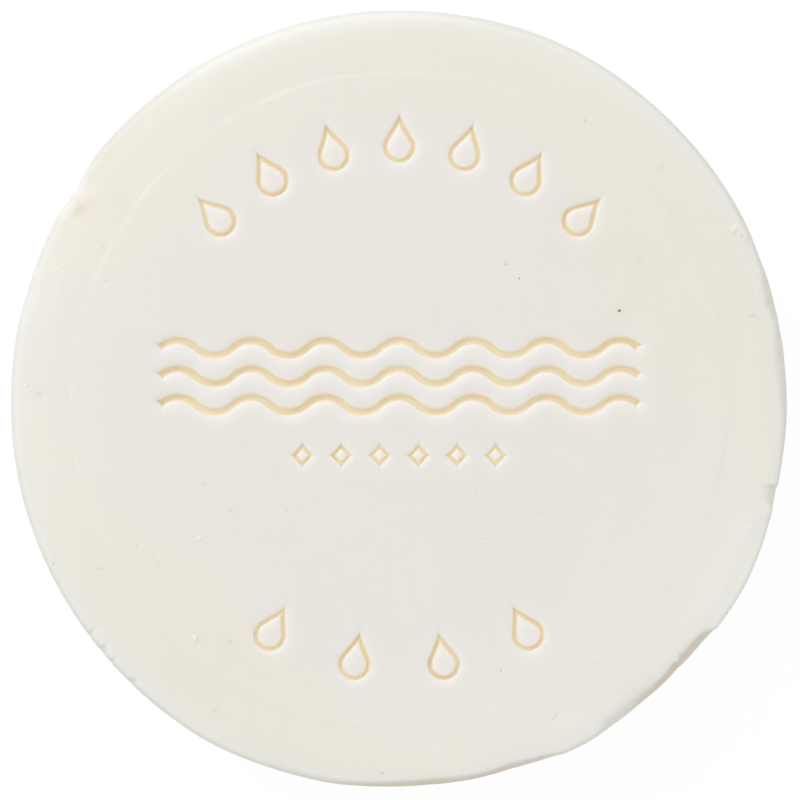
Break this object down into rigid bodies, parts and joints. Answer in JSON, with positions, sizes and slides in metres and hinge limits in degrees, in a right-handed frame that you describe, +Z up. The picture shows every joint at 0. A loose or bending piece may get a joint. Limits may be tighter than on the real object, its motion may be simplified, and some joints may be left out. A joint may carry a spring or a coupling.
{
  "type": "shaving soap puck",
  "caption": "Round pressed cake of hard shaving soap with rounded edges, a plain wall and a shallow pressed pattern on its upper face; it drops into a shaving bowl.",
  "frame": {"origin": "centre of the flat underside that the puck stands on", "axes": "+Z up through the puck's axis to the pressed face, +Y to the top of the pressed pattern, +X to the reader's right"},
  "size_m": [0.08, 0.08, 0.019],
  "materials": {
    "soap": "satin"
  },
  "bodies": {
    "root": {"soap_puck": "soap"}
  },
  "joints": []
}
